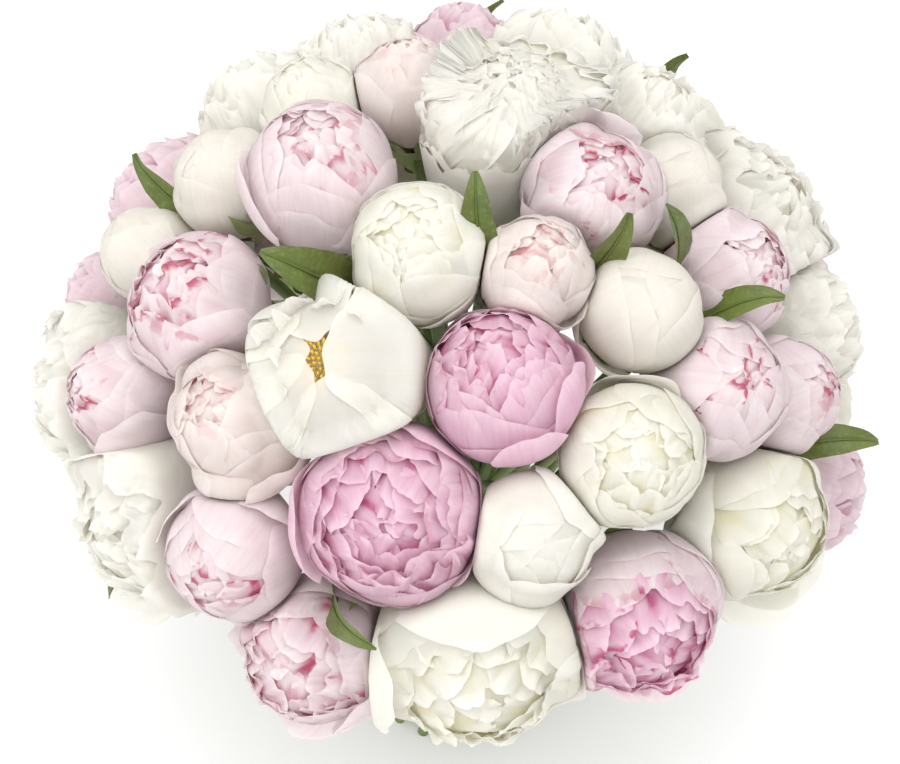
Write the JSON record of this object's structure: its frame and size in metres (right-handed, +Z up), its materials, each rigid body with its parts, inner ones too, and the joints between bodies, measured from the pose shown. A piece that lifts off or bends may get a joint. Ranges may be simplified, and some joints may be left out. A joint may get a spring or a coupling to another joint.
{
  "type": "peony bouquet",
  "caption": "Round hand-tied posy of cut double peonies in white, ivory, blush and pink, with short leaves, spiralled stems and a twine binding, standing on its cut stem ends.",
  "frame": {"origin": "middle of the cut end of the central stem, on the surface that the posy stands on", "axes": "+Z up through the binding to the top of the dome; -Y towards the front, where the largest pink head is; +X to the right"},
  "size_m": [0.4195, 0.4161, 0.448],
  "materials": {
    "petal_blush": "soft satin petals, pale blush with pink shadows",
    "petal_ivory": "soft satin petals, ivory",
    "petal_cream": "soft satin petals, cream with a peach edge",
    "petal_pink": "soft satin petals, medium pink with pale edges",
    "petal_bud": "smooth closed petals, white to ivory",
    "petal_open": "frilled petals, white",
    "petal_loose": "large loose petals, white",
    "petal_rose": "open petals, lilac pink",
    "stamen": "yellow anthers on pale threads",
    "sepal": "green sepals with a red edge",
    "stem": "smooth green stem, slightly ribbed",
    "leaf": "olive green leaf, satin",
    "twine": "natural jute twine, matt"
  },
  "bodies": {
    "root": {"blush_peony_01": "petal_blush", "ivory_peony_02": "petal_ivory", "cream_peony_03": "petal_cream", "pink_peony_04": "petal_pink", "pink_peony_05": "petal_pink", "bud_06": "petal_bud", "ivory_peony_07": "petal_ivory", "blush_peony_08": "petal_blush", "loose_peony_09": "petal_loose", "cream_peony_10": "petal_cream", "blush_peony_11": "petal_blush", "blush_peony_12": "petal_blush", "bud_13": "petal_bud", "bud_14": "petal_bud", "ivory_peony_15": "petal_ivory", "cream_peony_16": "petal_cream", "open_peony_17": "petal_open", "open_peony_18": "petal_open", "rose_peony_19": "petal_rose", "open_peony_20": "petal_open", "open_peony_21": "petal_open", "rose_peony_22": "petal_rose", "rose_peony_23": "petal_rose", "open_peony_24": "petal_open", "blush_peony_25": "petal_blush", "bud_26": "petal_bud", "open_peony_27": "petal_open", "open_peony_28": "petal_open", "blush_peony_29": "petal_blush", "blush_peony_30": "petal_blush", "blush_peony_31": "petal_blush", "ivory_peony_32": "petal_ivory", "open_peony_33": "petal_open", "blush_peony_34": "petal_blush", "ivory_peony_35": "petal_ivory", "blush_peony_36": "petal_blush", "open_peony_37": "petal_open", "rose_peony_38": "petal_rose", "rose_peony_39": "petal_rose", "ivory_peony_40": "petal_ivory", "blush_peony_41": "petal_blush", "cream_peony_42": "petal_cream", "pink_peony_43": "petal_pink", "open_peony_44": "petal_open", "bud_45": "petal_bud", "pink_peony_46": "petal_pink", "ivory_peony_47": "petal_ivory", "open_peony_48": "petal_open", "blush_peony_49": "petal_blush", "ivory_peony_50": "petal_ivory", "open_peony_51": "petal_open", "stamens": "stamen", "calyces": "sepal", "stems_inner": "stem", "stems_middle": "stem", "stems_outer": "stem", "upper_leaves": "leaf", "rim_leaves": "leaf", "binding_twine": "twine", "twine_knot": "twine"}
  },
  "joints": []
}
